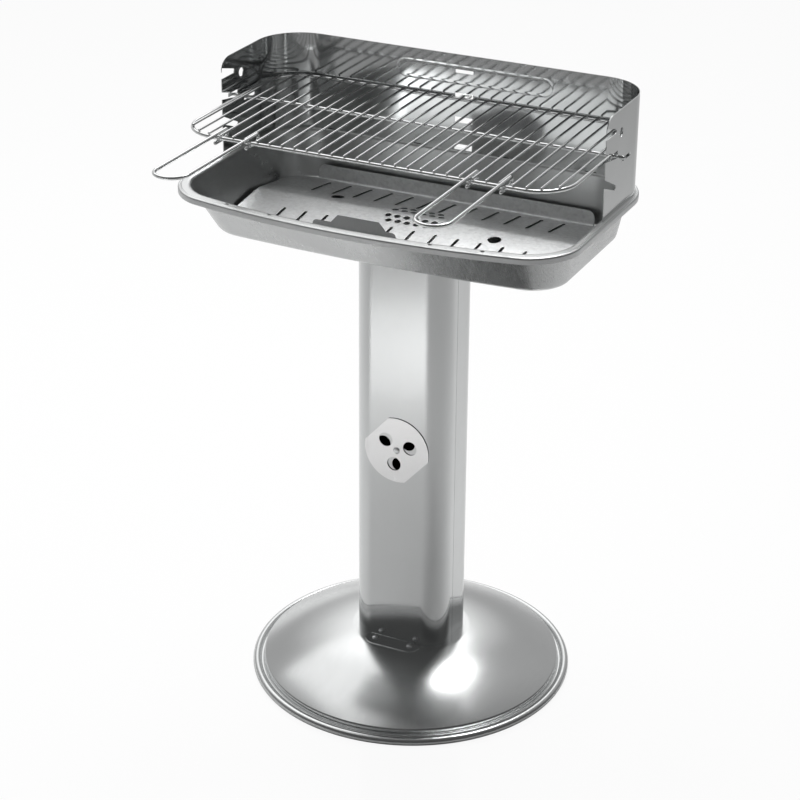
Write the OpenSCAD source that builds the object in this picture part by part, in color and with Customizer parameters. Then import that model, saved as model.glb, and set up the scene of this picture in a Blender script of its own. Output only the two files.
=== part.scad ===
// Charcoal grill on a round foot: a sheet-metal column carries a pressed fire pan,
// a U-shaped wind shield, a lift-out coal tray and a wire cooking grid with two handles.
// +Z is up, the front of the grill faces -Y, and the floor is z = 0.

/* [Base] */
// Outside radius of the round base
base_r = 225; // [200:1:250]
// Height of the top of the dome above the floor
dome_h = 60; // [45:1:80]
// Height of the dome's edge above the floor
edge_h = 17; // [12:0.5:22]
// Radius of the flat top of the dome
dome_top_r = 82; // [82:1:105]
// Radius of the rolled bead round the rim
bead_r = 5.5; // [4:0.5:7]
// Width of the groove between the bead and the dome
groove_w = 5; // [3:0.5:8]
// Thickness of the base sheet
base_sheet = 1.2; // [0.8:0.1:2]

/* [Column] */
// Width of the column, side to side
column_w = 138; // [125:1:155]
// Depth of the column, front to back
column_d = 101.4; // [92:0.2:115]
// Radius of the column's upright corners
column_r = 30.6; // [20:0.2:36]
// Distance of the side seam in front of the column's middle
seam_y = 12; // [5:0.5:16]
// Width of the lap behind the seam
lap_w = 8; // [6:0.5:8]
// Width of a foot tab
tab_w = 82; // [74:1:90]
// Length of a foot tab
tab_l = 24; // [22:0.5:28]
// Radius of a foot tab's corners
tab_r = 16; // [8:1:20]
// Thickness of the thin sheets
sheet = 1; // [0.8:0.1:1.4]
// Width of the cap plate's edge past the column
cap_edge = 5; // [3:0.5:8]
// Height of the collar under the cap plate
collar_h = 20; // [12:1:30]
// Radius of the air opening in the cap plate
cap_air_r = 30; // [24:1:33]

/* [Damper] */
// Height of the damper's middle above the floor
damper_z = 357; // [300:1:420]
// Radius of the damper disc
damper_r = 47.5; // [42:0.5:50]
// Distance of the disc's two flat edges from its middle
damper_flat = 40; // [36:0.5:41]
// Radius of an air hole
vent_r = 10; // [7:0.5:11]
// Distance of the air holes from the damper's middle
vent_pitch_r = 21; // [19:0.5:24]
// Turn of the disc at rest against the column's holes, in degrees
damper_turn = 18; // [0:1:40]

/* [Pan] */
// Height of the pan's underside above the floor
pan_z = 654; // [560:1:740]
// Depth of the pan, underside to rim
pan_h = 71; // [60:1:85]
// Half the width of the pan's floor
floor_hw = 245; // [235:1:250]
// Half the width between the pan's side walls at the rim
mouth_hw = 265; // [264:0.5:267]
// Width of the rim at each side of the mouth
rim_w = 12.5; // [11:0.5:18]
// Distance from the column's middle to the front corners of the rim
rim_front = 173; // [170:1:180]
// Distance from the column's middle to the rear edge of the rim
rim_rear = 150; // [148:0.5:156]
// How far the front edge bows forward
front_bow = 35; // [25:1:45]
// Height of the rim's turned-down lip
lip_h = 8; // [6:0.5:14]

/* [Tray] */
// Distance of the tray's sides from the foot of the pan's side walls
tray_side_in = 4.5; // [4:0.5:20]
// Distance of the tray's front edge from the foot of the pan's front wall
tray_front_in = 6; // [6:0.5:15]
// Distance of the tray's rear edge from the foot of the pan's rear wall
tray_rear_in = 8; // [6:0.5:16]
// Distance of the ridge behind the column's middle
ridge_y = 12; // [5:0.5:20]
// Height of the ridge above the tray's edges
tray_rise = 15; // [8:0.5:18]
// Height of the upright flange along the tray's rear edge
flange_h = 21.5; // [12:0.5:28]
// Distance between two neighbouring slots
slot_pitch = 31.5; // [28:0.5:34]
// Width of a slot
slot_w = 4.2; // [2.5:0.1:6]

/* [Wind shield] */
// Distance of the shield's sides from the pan's side walls
shield_out = 5.4; // [4:0.1:7]
// Distance from the column's middle to the shield's rear face
shield_rear = 135.7; // [135:0.1:138]
// Radius of the shield's rear corners
shield_r = 62; // [60:0.5:70]
// Distance of the shield's front edges in front of the column's middle
shield_front = 28; // [22:1:36]
// Height of the shield above the rim
shield_h = 133; // [120:1:150]

/* [Grid] */
// Height of the frame wire's middle above the rim
grid_up = 74; // [72:0.5:75]
// Half the width of the grid's frame loop
grid_hw = 262.5; // [258:0.5:263]
// Distance from the column's middle to the front wire
grid_front = 153; // [140:1:165]
// Distance from the column's middle to the rear wire
grid_rear = 129; // [122:0.5:129.5]
// Radius of the loop's front corners
loop_front_r = 50; // [40:1:60]
// Radius of the loop's rear corners
loop_rear_r = 62; // [58:1:70]
// Radius of the frame wire
frame_wire_r = 2.5; // [2:0.1:2.8]
// Radius of a bar
bar_r = 1.6; // [1.2:0.1:1.9]
// Number of bars
bar_count = 30; // [24:2:30]
// Distance between two neighbouring bars
bar_pitch = 17.4; // [16.8:0.1:17.4]
// Distance of the cross wire behind the column's middle
cross_y = 10; // [4:0.5:14]

/* [Handles] */
// Radius of the handle wire
handle_wire_r = 2.4; // [2:0.1:2.6]
// Distance from the column's middle to the handles' tips
handle_reach = 322; // [290:1:345]
// Distance from the column's middle to the bends of the handles' hooks
hook_reach = 132; // [120:1:140]
// Bars from the middle to the left handle
left_bar_count = 10; // [9:1:11]
// Bars from the middle to the right handle
right_bar_count = 9; // [8:1:10]

/* [Hidden] */
$fn = 64;

// One overrun for every cut
over = 2;
// Running clearance round the damper's rivet
running = 0.08;
// Gap between resting pieces that can be lifted apart
seat_gap = 0.3;
// Clearance between sheets of one body that lie in each other
lap_gap = 0.1;

// The model stands on the middle of its own outline
axis_y = (handle_reach + handle_wire_r - base_r) / 2;

// Levels that the pieces share
rim_z = pan_z + pan_h;
cap_sheet = 1.5;
column_top = pan_z - cap_sheet;
column_h = column_top - dome_h;
pan_floor_z = pan_z + sheet;
frame_z = rim_z + grid_up;
bar_z = frame_z + frame_wire_r + bar_r;

// Half widths that follow the pan's mouth
rim_hw = mouth_hw + rim_w;
shield_hw = mouth_hw + shield_out;

// Screws and nuts, one size for the foot, the pan and the shield
screw_r = 2.4;
screw_hole_r = 2.6;
screw_head_r = 4.6;
screw_head_h = 2.6;
screw_past = 3;
nut_r = 4.8;
nut_h = 3.2;
nut_sides = 6;

foot_screw_x = 26.5;
foot_screw_out = 10;
pan_screw_x = 46;
pan_screw_y = 28;

module placed() {
    translate([0, axis_y, 0])
        children();
}

// A rectangle with four round corners, between two x and two y values
module round_plan(x0, x1, y0, y1, r) {
    translate([x0 + r, y0])
        square([x1 - x0 - 2 * r, y1 - y0]);
    translate([x0, y0 + r])
        square([x1 - x0, y1 - y0 - 2 * r]);
    for (x = [x0 + r, x1 - r], y = [y0 + r, y1 - r])
        translate([x, y])
            circle(r);
}

// The column's outline, grown by a distance
module column_plan(grow) {
    hw = column_w / 2 + grow;
    hd = column_d / 2 + grow;
    round_plan(-hw, hw, -hd, hd, column_r + grow);
}

// A screw that points down, with the underside of its domed head at z = 0
module screw(grip) {
    rotate_extrude()
        polygon(concat(
            [[0, -grip - screw_past], [screw_r, -grip - screw_past], [screw_r, 0], [screw_head_r, 0]],
            [for (a = [0 : 15 : 90]) [screw_head_r * cos(a), screw_head_h * sin(a)]]
        ));
}

// A hexagon nut with its top at z = 0
module nut() {
    translate([0, 0, -nut_h])
        difference() {
            cylinder(h = nut_h, r = nut_r, $fn = nut_sides);
            translate([0, 0, -over])
                cylinder(h = nut_h + 2 * over, r = screw_r + lap_gap);
        }
}

// Places that a group of screws shares with its holes and nuts
module at_foot() {
    for (x = [-foot_screw_x, foot_screw_x], side = [-1, 1])
        translate([x, side * (column_d / 2 + foot_screw_out), 0])
            children();
}

module at_pan_screws() {
    for (x = [-pan_screw_x, pan_screw_x], y = [-pan_screw_y, pan_screw_y])
        translate([x, y, 0])
            children();
}

// Base: a rolled bead, a groove, a step up to the dome's edge, and a dome that flattens at the top

groove_h = 7;
dome_steps = 14;
dome_start_r = base_r - 2 * bead_r - groove_w;
foot_w = 4;

// Slope at the dome's top as a share of the slope at its edge
top_slope = 0.2;

// Share of the dome's rise at a share t of the way in from its edge
function dome_share(t) = (2 * t - (1 - top_slope) * t * t) / (1 + top_slope);

function dome_line(drop) = [
    for (i = [0 : dome_steps])
        let (t = i / dome_steps)
        [dome_start_r - drop + (dome_top_r - dome_start_r + drop) * t,
            edge_h + (dome_h - edge_h) * dome_share(t) - drop]
];

function reversed(list) = [for (i = [len(list) - 1 : -1 : 0]) list[i]];

module base_profile() {
    polygon(concat(
        [[base_r - foot_w, 0], [base_r, 0]],
        [for (a = [0 : 15 : 180]) [base_r - bead_r + bead_r * cos(a), bead_r + bead_r * sin(a)]],
        [[base_r - 2 * bead_r, groove_h], [dome_start_r, groove_h]],
        dome_line(0),
        [[0, dome_h], [0, dome_h - base_sheet]],
        reversed(dome_line(base_sheet)),
        [[dome_start_r - base_sheet, groove_h - base_sheet], [base_r - 2 * bead_r, groove_h - base_sheet]]
    ));
}

module base_dish() {
    color("lightgray")
        placed()
            difference() {
                rotate_extrude($fn = 120)
                    base_profile();
                at_foot()
                    translate([0, 0, dome_h - base_sheet - over])
                        cylinder(h = base_sheet + 2 * over, r = screw_hole_r);
            }
}

// Column: two bent shells that lap at the seam, each with a foot tab

module column_ring() {
    linear_extrude(column_h)
        difference() {
            column_plan(0);
            column_plan(-sheet);
        }
}

// A foot tab that runs out towards -Y, with its two screw holes
module foot_tab() {
    wall = column_d / 2;
    linear_extrude(sheet)
        difference() {
            translate([0, -wall])
                round_plan(-tab_w / 2, tab_w / 2, -tab_l, tab_r, tab_r);
            translate([-tab_w, -wall + sheet])
                square([2 * tab_w, wall]);
            for (x = [-foot_screw_x, foot_screw_x])
                translate([x, -wall - foot_screw_out])
                    circle(screw_hole_r);
        }
}

// The three air holes of the column and of the disc, turned by an angle
vent_angles = [140, 20, -100];

module vents(turn, depth) {
    for (a = vent_angles)
        translate([vent_pitch_r * cos(a + turn), 0, damper_z + vent_pitch_r * sin(a + turn)])
            rotate([90, 0, 0])
                cylinder(h = depth, r = vent_r, center = true);
}

rivet_r = 2.5;
rivet_head_r = 5;
rivet_head_h = 1.6;

module rivet_hole(depth, gap) {
    translate([0, 0, damper_z])
        rotate([90, 0, 0])
            cylinder(h = depth, r = rivet_r + gap, center = true);
}

module column_front() {
    color("gainsboro")
        placed()
            difference() {
                translate([0, 0, dome_h])
                    union() {
                        intersection() {
                            column_ring();
                            translate([-column_w, -column_d - seam_y, 0])
                                cube([2 * column_w, column_d, column_h]);
                        }
                        foot_tab();
                    }
                translate([0, -column_d / 2, 0]) {
                    vents(damper_turn, 4 * over);
                    rivet_hole(4 * over, 0);
                }
            }
}

module column_rear() {
    edge_y = -seam_y + lap_gap;
    lap_x = column_w / 2 - sheet - lap_gap;
    color("silver")
        placed()
            translate([0, 0, dome_h])
                union() {
                    intersection() {
                        column_ring();
                        translate([-column_w, edge_y, 0])
                            cube([2 * column_w, column_d, column_h]);
                    }
                    for (side = [0, 1])
                        mirror([side, 0, 0]) {
                            translate([lap_x - sheet, edge_y - lap_w, 0])
                                cube([sheet, lap_w + sheet, column_h]);
                            translate([lap_x - sheet, edge_y, 0])
                                cube([2 * sheet + lap_gap, sheet, column_h]);
                        }
                    mirror([0, 1, 0])
                        foot_tab();
                }
}

module cap_plate() {
    collar_in = -2 * sheet - 2 * lap_gap;
    color("darkgray")
        placed()
            difference() {
                union() {
                    translate([0, 0, column_top])
                        linear_extrude(cap_sheet)
                            column_plan(cap_edge);
                    translate([0, 0, column_top - collar_h])
                        linear_extrude(collar_h)
                            difference() {
                                column_plan(collar_in);
                                column_plan(collar_in - sheet);
                            }
                }
                translate([0, 0, column_top - over])
                    cylinder(h = cap_sheet + 2 * over, r = cap_air_r);
                at_pan_screws()
                    translate([0, 0, column_top - over])
                        cylinder(h = cap_sheet + 2 * over, r = screw_hole_r);
            }
}

module foot_screws() {
    color("dimgray")
        placed()
            at_foot()
                translate([0, 0, dome_h + sheet])
                    screw(sheet + base_sheet + nut_h);
}

module foot_nuts() {
    color("dimgray")
        placed()
            at_foot()
                translate([0, 0, dome_h - base_sheet])
                    nut();
}

// Damper: a disc with two flats that turns on a rivet in the column's front

damper_flat_angle = 138;
washer_r = 9;
washer_h = 1;
damper_back = -column_d / 2 - seat_gap;

module damper_disc() {
    color("whitesmoke")
        placed()
            translate([0, damper_back - sheet / 2, 0])
                difference() {
                    translate([0, 0, damper_z])
                        rotate([90, 0, 0])
                            intersection() {
                                cylinder(h = sheet, r = damper_r, center = true);
                                rotate([0, 0, damper_flat_angle])
                                    cube([2 * damper_flat, 3 * damper_r, 3 * sheet], center = true);
                            }
                    vents(0, 4 * over);
                    rivet_hole(4 * over, running);
                }
}

module damper_washer() {
    color("dimgray")
        placed()
            translate([0, -column_d / 2 + sheet + washer_h, damper_z])
                rotate([90, 0, 0])
                    difference() {
                        cylinder(h = washer_h, r = washer_r);
                        translate([0, 0, -over])
                            cylinder(h = washer_h + 2 * over, r = rivet_r + running);
                    }
}

module damper_rivet() {
    stack = seat_gap + sheet + seat_gap + sheet + washer_h;
    color("dimgray")
        placed()
            translate([0, damper_back - sheet - seat_gap, damper_z])
                rotate([90, 0, 0])
                    rotate_extrude()
                        polygon(concat(
                            [for (a = [0 : 15 : 90])
                                [rivet_head_r * cos(a), rivet_head_h * sin(a)]],
                            [[0, -stack - rivet_head_h]],
                            [[rivet_head_r, -stack - rivet_head_h], [rivet_head_r, -stack]],
                            [[rivet_r, -stack], [rivet_r, 0]]
                        ));
}

// Pan: closed outlines with a bowed front, joined level by level

corner_steps = 6;
front_steps = 10;
side_steps = 3;
pan_fillet = 9;

// An outline is [half width, front, bow, rear, front corner, rear corner]
floor_front = 119;
floor_bow = 10;
floor_rear = 128;
floor_corner_r = 46;
mouth_front = 157;
mouth_rear = 132.5;
mouth_front_r = 48;
mouth_rear_r = 72;
rim_front_r = 56;
rim_rear_r = 84;

floor_line = [floor_hw, floor_front, floor_bow, floor_rear, floor_corner_r, floor_corner_r];
mouth_line = [mouth_hw, mouth_front, front_bow, mouth_rear, mouth_front_r, mouth_rear_r];
rim_line = [rim_hw, rim_front, front_bow, rim_rear, rim_front_r, rim_rear_r];

function grown(line, d) = [
    line[0] + d, line[1] + d, line[2], line[3] + d, line[4] + d, line[5] + d
];

function arc(x, y, r, a0) = [
    for (i = [0 : corner_steps])
        [x + r * cos(a0 + 90 * i / corner_steps), y + r * sin(a0 + 90 * i / corner_steps)]
];

function between(p, q, n) = [for (i = [1 : n]) p + (q - p) * i / (n + 1)];

function bowed(p, line) = [
    p[0],
    p[1] + (p[1] < 0 ? line[2] * p[1] / line[1] * (1 - pow(p[0] / line[0], 2)) : 0)
];

function corners(line) = [
    arc(line[0] - line[5], line[3] - line[5], line[5], 0),
    arc(line[5] - line[0], line[3] - line[5], line[5], 90),
    arc(line[4] - line[0], line[4] - line[1], line[4], 180),
    arc(line[0] - line[4], line[4] - line[1], line[4], 270)
];

function outline(line) =
    let (c = corners(line), last = corner_steps)
    [for (p = concat(
        c[0], c[1], between(c[1][last], c[2][0], side_steps),
        c[2], between(c[2][last], c[3][0], front_steps),
        c[3], between(c[3][last], c[0][0], side_steps)
    )) bowed(p, line)];

// A closed outline as a thin slice with its underside at a height
slice_h = 0.2;

module slice(line, z) {
    translate([0, 0, z])
        linear_extrude(slice_h)
            polygon(outline(line));
}

// The tub's outside, or its inside when it is shrunk by the sheet and lifted
module tub(shrink, lift, top) {
    hull() {
        slice(grown(floor_line, -shrink - pan_fillet), pan_z + lift);
        slice(grown(floor_line, -shrink - pan_fillet / 3), pan_z + lift + pan_fillet / 3);
        slice(grown(floor_line, -shrink), pan_z + lift + pan_fillet);
        slice(grown(mouth_line, sheet - shrink), top - slice_h);
    }
}

module pan_rim() {
    translate([0, 0, rim_z - sheet])
        linear_extrude(sheet)
            difference() {
                polygon(outline(rim_line));
                polygon(outline(mouth_line));
            }
    translate([0, 0, rim_z - lip_h])
        linear_extrude(lip_h - sheet / 2)
            difference() {
                polygon(outline(rim_line));
                polygon(outline(grown(rim_line, -sheet)));
            }
}

module pan_shell() {
    difference() {
        union() {
            tub(0, 0, rim_z);
            pan_rim();
        }
        tub(sheet, sheet, rim_z + slice_h);
    }
}

pan_air_r = 8;
pan_air_pitch_r = 19;
pan_air_count = 6;

module pan_air() {
    translate([0, 0, pan_z - over])
        cylinder(h = sheet + 2 * over, r = pan_air_r);
    for (i = [0 : pan_air_count - 1])
        rotate([0, 0, 360 * i / pan_air_count])
            translate([pan_air_pitch_r, 0, pan_z - over])
                cylinder(h = sheet + 2 * over, r = pan_air_r);
}

// The four small holes in the front rim follow its bow
rim_hole_r = 2.6;
rim_hole_in = 6;
rim_hole_shares = [-0.635, -0.398, 0.398, 0.635];

module rim_holes() {
    for (share = rim_hole_shares)
        let (x = share * rim_hw)
        translate([x, -mouth_front - rim_hole_in - front_bow * (1 - pow(x / rim_hw, 2)), rim_z - sheet - over])
            cylinder(h = sheet + 2 * over, r = rim_hole_r);
}

module fire_pan() {
    color("silver")
        placed()
            difference() {
                pan_shell();
                pan_air();
                rim_holes();
                at_pan_screws()
                    translate([0, 0, pan_z - over])
                        cylinder(h = sheet + 2 * over, r = screw_hole_r);
                at_shield_screws()
                    translate([0, 0, rim_z - sheet - over])
                        cylinder(h = sheet + 2 * over, r = screw_hole_r);
            }
}

module pan_screws() {
    color("dimgray")
        placed()
            at_pan_screws()
                translate([0, 0, pan_floor_z])
                    screw(sheet + cap_sheet + nut_h);
}

module pan_nuts() {
    color("dimgray")
        placed()
            at_pan_screws()
                translate([0, 0, column_top])
                    nut();
}

// Tray: a low roof of sheet with slots and holes, a rear flange and a front grip

// The tray's rear edge lies on the curve between the pan's floor and rear wall,
// whose lower face rises by half of its width
tray_hw = floor_hw - tray_side_in;
tray_front = floor_front - tray_front_in;
tray_rear = floor_rear - tray_rear_in;
tray_z = pan_floor_z + max(0, (sheet + pan_fillet - tray_rear_in) / 2) + 2 * seat_gap;
tray_corner_r = 42;
slot_count = 12;
slot_shift = -4;
rear_slot_y = [48, 100];
front_slot_y = [-78, -30];
hole_r = 4.4;
hole_pitch = 13.4;
hole_shift = -6.5;
hole_row = 11;
outer_hole_row = 24;
ash_hole_r = 9;
ash_hole_places = [[-132, 35], [119, -14]];
flange_hw = 204;
flange_r = 10;
grip_x = -34;
grip_top_shift = 6;
grip_w = 118;
grip_h = 38.5;
grip_r = 6;
grip_top_w = 58;
grip_slope_w = 78;
grip_top_h = 11;
grip_y = 110;

module tray_roof() {
    rotate([90, 0, 90])
        linear_extrude(2 * tray_hw, center = true)
            polygon([
                [-tray_front, tray_z], [ridge_y, tray_z + tray_rise], [tray_rear, tray_z],
                [tray_rear, tray_z + sheet], [ridge_y, tray_z + tray_rise + sheet],
                [-tray_front, tray_z + sheet]
            ]);
}

module tray_cut(z_h) {
    translate([0, 0, tray_z - over])
        linear_extrude(z_h)
            children();
}

module slot_row(y_range) {
    for (i = [0 : slot_count - 1])
        translate([slot_shift + slot_pitch * (i - (slot_count - 1) / 2), 0]) {
            translate([-slot_w / 2, y_range[0]])
                square([slot_w, y_range[1] - y_range[0]]);
            for (y = y_range)
                translate([0, y])
                    circle(slot_w / 2);
        }
}

module hole_rows() {
    for (side = [-1, 1]) {
        for (i = [-2.5 : 1 : 2.5])
            translate([hole_shift + hole_pitch * i, ridge_y + side * hole_row])
                circle(hole_r);
        for (i = [-2 : 1 : 2])
            translate([hole_shift + hole_pitch * i, ridge_y + side * outer_hole_row])
                circle(hole_r);
    }
}

module tray_flange() {
    translate([0, tray_rear, 0])
        rotate([90, 0, 0])
            linear_extrude(sheet) {
                translate([-flange_hw, tray_z])
                    square([2 * flange_hw, flange_h - flange_r]);
                translate([flange_r - flange_hw, tray_z])
                    square([2 * flange_hw - 2 * flange_r, flange_h]);
                for (x = [flange_r - flange_hw, flange_hw - flange_r])
                    translate([x, tray_z + flange_h - flange_r])
                        circle(flange_r);
            }
}

module tray_grip() {
    translate([grip_x, -grip_y, tray_z])
        rotate([90, 0, 0])
            linear_extrude(sheet) {
                round_plan(-grip_w / 2, grip_w / 2, 0, grip_h, grip_r);
                translate([grip_top_shift, 0])
                    polygon([
                        [grip_slope_w / 2, grip_h - grip_r], [grip_slope_w / 2, grip_h],
                        [grip_top_w / 2, grip_h + grip_top_h], [-grip_top_w / 2, grip_h + grip_top_h],
                        [-grip_slope_w / 2, grip_h], [-grip_slope_w / 2, grip_h - grip_r]
                    ]);
            }
}

module coal_tray() {
    cut_h = tray_rise + flange_h + grip_h;
    color("darkgray")
        placed()
            union() {
                difference() {
                    intersection() {
                        tray_roof();
                        tray_cut(cut_h)
                            round_plan(-tray_hw, tray_hw, -tray_front, tray_rear, tray_corner_r);
                    }
                    tray_cut(cut_h)
                        slot_row(rear_slot_y);
                    tray_cut(cut_h)
                        slot_row(front_slot_y);
                    tray_cut(cut_h)
                        hole_rows();
                    for (p = ash_hole_places)
                        tray_cut(cut_h)
                            translate(p)
                                circle(ash_hole_r);
                }
                tray_flange();
                tray_grip();
            }
}

// Wind shield: a U of sheet on the rim, with notches for the grid at three heights

// The outer tabs stay clear of the rear corners
shield_tab_w = 16;
tab_from_corner = 18.4;
inner_tab_share = 0.342;
outer_tab_x = shield_hw - shield_r - tab_from_corner;
shield_tab_x = [for (share = [-1, -inner_tab_share, inner_tab_share, 1]) share * outer_tab_x];
shield_tab_l = 12;
shield_hole_out = 6;
shield_top_r = 18;

module at_shield_screws() {
    for (x = shield_tab_x)
        translate([x, shield_rear + shield_hole_out, 0])
            children();
}

// The shield's outline seen from above, grown by a distance
module shield_plan(grow) {
    hw = shield_hw + grow;
    r = shield_r + grow;
    rear = shield_rear + grow;
    translate([-hw, -shield_front])
        square([2 * hw, shield_front + rear - r]);
    translate([r - hw, 0])
        square([2 * hw - 2 * r, rear]);
    for (x = [r - hw, hw - r])
        translate([x, rear - r])
            circle(r);
}

// Heights above the rim, as [mouth low, mouth high, end low, end high, depth of the end]
top_notch = [106, 121, 106, 112.5, 30];
low_notch = [44, 55, 30, 37.5, 36];
mid_mouth = [78, 88];
mid_seat_r = frame_wire_r + seat_gap;

module notch(n) {
    polygon([
        [-shield_front - over, rim_z + n[0]], [n[4] - shield_front, rim_z + n[2]],
        [n[4] - shield_front, rim_z + n[3]], [-shield_front - over, rim_z + n[1]]
    ]);
    translate([n[4] - shield_front, rim_z + (n[2] + n[3]) / 2])
        circle((n[3] - n[2]) / 2);
}

// The middle notch ends where the cross wire rests
module mid_notch() {
    polygon([
        [-shield_front - over, rim_z + mid_mouth[0]], [cross_y, frame_z - mid_seat_r],
        [cross_y, frame_z + mid_seat_r], [-shield_front - over, rim_z + mid_mouth[1]]
    ]);
    translate([cross_y, frame_z])
        circle(mid_seat_r);
}

key_hole = [23, 102];
key_hole_r = 6;
side_slot_h = 4.5;
side_slots = [[-11, 13, 79], [30, 59, 63]];
rear_slot_w = 26;
rear_slot_x = 6;
rear_slots = [[110, 5], [43, 8], [5, 8]];
hook_slot_h = 9;

// A long oval bead pressed in the rear, round the top slot
bead_line_r = 1.5;
bead_x = 20;
bead_up = 105;
bead_hw = 111;
bead_hh = 11;

module shield_bead() {
    straight = bead_hw - bead_hh;
    translate([bead_x, shield_rear - sheet / 2, rim_z + bead_up])
        rotate([90, 0, 0]) {
            for (side = [-1, 1])
                wire([-straight, side * bead_hh, 0], [straight, side * bead_hh, 0], bead_line_r);
            translate([straight, 0, 0])
                bend(bead_hh, bead_line_r, -90, 180);
            translate([-straight, 0, 0])
                bend(bead_hh, bead_line_r, 90, 180);
        }
}

module shield_side_cuts() {
    rotate([90, 0, 90])
        linear_extrude(3 * shield_hw, center = true) {
            notch(top_notch);
            mid_notch();
            notch(low_notch);
            translate([key_hole[0], rim_z + key_hole[1]])
                circle(key_hole_r);
            for (s = side_slots)
                translate([s[0], rim_z + s[2] - side_slot_h / 2])
                    square([s[1] - s[0], side_slot_h]);
            difference() {
                translate([-shield_front - over, rim_z + shield_h - shield_top_r])
                    square([shield_top_r + over, shield_top_r + over]);
                translate([shield_top_r - shield_front, rim_z + shield_h - shield_top_r])
                    circle(shield_top_r);
            }
        }
}

module shield_rear_cuts() {
    for (s = rear_slots)
        translate([rear_slot_x - rear_slot_w / 2, shield_rear - 2 * over, rim_z + s[0] - s[1] / 2])
            cube([rear_slot_w, 4 * over, s[1]]);
    translate([rear_slot_x - rear_slot_w / 2, shield_rear - 2 * over, frame_z - frame_wire_r - seat_gap])
        cube([rear_slot_w, 4 * over, hook_slot_h]);
}

module wind_shield() {
    color("lightsteelblue")
        placed()
            difference() {
                union() {
                    translate([0, 0, rim_z])
                        linear_extrude(shield_h)
                            difference() {
                                shield_plan(0);
                                translate([0, -over])
                                    shield_plan(-sheet);
                                translate([-shield_hw + sheet, -shield_front - over])
                                    square([2 * shield_hw - 2 * sheet, shield_front]);
                            }
                    for (x = shield_tab_x)
                        translate([x - shield_tab_w / 2, shield_rear - sheet, rim_z])
                            cube([shield_tab_w, shield_tab_l, sheet]);
                    shield_bead();
                }
                shield_side_cuts();
                shield_rear_cuts();
                at_shield_screws()
                    translate([0, 0, rim_z - over])
                        cylinder(h = sheet + 2 * over, r = screw_hole_r);
            }
}

module shield_screws() {
    color("dimgray")
        placed()
            at_shield_screws()
                translate([0, 0, rim_z + sheet])
                    screw(2 * sheet + nut_h);
}

module shield_nuts() {
    color("dimgray")
        placed()
            at_shield_screws()
                translate([0, 0, rim_z - sheet])
                    nut();
}

// Grid: a closed loop of wire, thin bars across it, a cross wire and a rear hook

// A straight wire between two points
module wire(p, q, r) {
    d = q - p;
    length = norm(d);
    translate(p)
        rotate([0, acos(d[2] / length), atan2(d[1], d[0])])
            cylinder(h = length, r = r);
}

// A flat bend of wire about the origin, from angle a0 through a turn
module bend(bend_r, r, a0, turn) {
    rotate([0, 0, a0])
        rotate_extrude(angle = turn, $fn = 96)
            translate([bend_r, 0])
                circle(r, $fn = 32);
}

loop_front_x = grid_hw - loop_front_r;
loop_rear_x = grid_hw - loop_rear_r;
loop_front_y = loop_front_r - grid_front;
loop_rear_y = grid_rear - loop_rear_r;

module grid_frame() {
    color("lightgray")
        placed()
            translate([0, 0, frame_z])
                union() {
                    wire([-loop_front_x, -grid_front, 0], [loop_front_x, -grid_front, 0], frame_wire_r);
                    wire([-loop_rear_x, grid_rear, 0], [loop_rear_x, grid_rear, 0], frame_wire_r);
                    for (side = [-1, 1])
                        wire([side * grid_hw, loop_front_y, 0], [side * grid_hw, loop_rear_y, 0], frame_wire_r);
                    translate([loop_front_x, loop_front_y, 0])
                        bend(loop_front_r, frame_wire_r, -90, 90);
                    translate([-loop_front_x, loop_front_y, 0])
                        bend(loop_front_r, frame_wire_r, 180, 90);
                    translate([loop_rear_x, loop_rear_y, 0])
                        bend(loop_rear_r, frame_wire_r, 0, 90);
                    translate([-loop_rear_x, loop_rear_y, 0])
                        bend(loop_rear_r, frame_wire_r, 90, 90);
                }
}

// Depth of the loop at a distance x from the middle, in front and behind
function corner_drop(x, start, r) = x > start ? r - sqrt(r * r - pow(x - start, 2)) : 0;

bar_end = 1.5;
weld_gap = 0.05;

module grid_bars() {
    color("lightgray")
        placed()
            for (i = [0 : bar_count - 1]) {
                x = bar_pitch * (i - (bar_count - 1) / 2);
                y0 = -grid_front - bar_end + corner_drop(abs(x), loop_front_x, loop_front_r);
                y1 = grid_rear + bar_end - corner_drop(abs(x), loop_rear_x, loop_rear_r);
                wire([x, y0, bar_z + weld_gap], [x, y1, bar_z + weld_gap], bar_r);
            }
}

cross_end_out = 9;
// A ball of wire swells a little past the wire itself
knuckle_share = 1.15;

// The wire lies inside the loop, and a peg on each side of the loop rests in the shield's notch
module grid_cross_wire() {
    inside = grid_hw - frame_wire_r - weld_gap;
    outside = grid_hw + frame_wire_r + weld_gap;
    end_x = shield_hw + cross_end_out;
    color("lightgray")
        placed()
            translate([0, cross_y, frame_z]) {
                wire([-inside, 0, 0], [inside, 0, 0], frame_wire_r);
                for (side = [-1, 1])
                    union() {
                        wire([side * outside, 0, 0], [side * end_x, 0, 0], frame_wire_r);
                        translate([side * end_x, 0, 0])
                            sphere(frame_wire_r * knuckle_share, $fn = 32);
                    }
            }
}

hook_x = 6;
hook_w = 12;
hook_out = 12;

module grid_hook() {
    hook_r = 2;
    y0 = grid_rear + frame_wire_r + weld_gap;
    y1 = shield_rear + hook_out - hook_w / 2;
    color("lightgray")
        placed()
            translate([hook_x, 0, frame_z])
                union() {
                    for (x = [-hook_w / 2, hook_w / 2])
                        wire([x, y0, 0], [x, y1, 0], hook_r);
                    translate([0, y1, 0])
                        bend(hook_w / 2, hook_r, 0, 180);
                }
}

// Handles: a wire U whose two legs lie on the front wire, and are hooked back under it

leg_shift = 3.8;
leg_x = 1.5 * bar_pitch - leg_shift;
leg_z = frame_z + frame_wire_r + seat_gap + handle_wire_r;
under_z = frame_z - frame_wire_r - seat_gap - handle_wire_r;
hook_bend_r = (leg_z - under_z) / 2;
hook_past = 6;
tip_y = leg_x - handle_reach;

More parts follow.
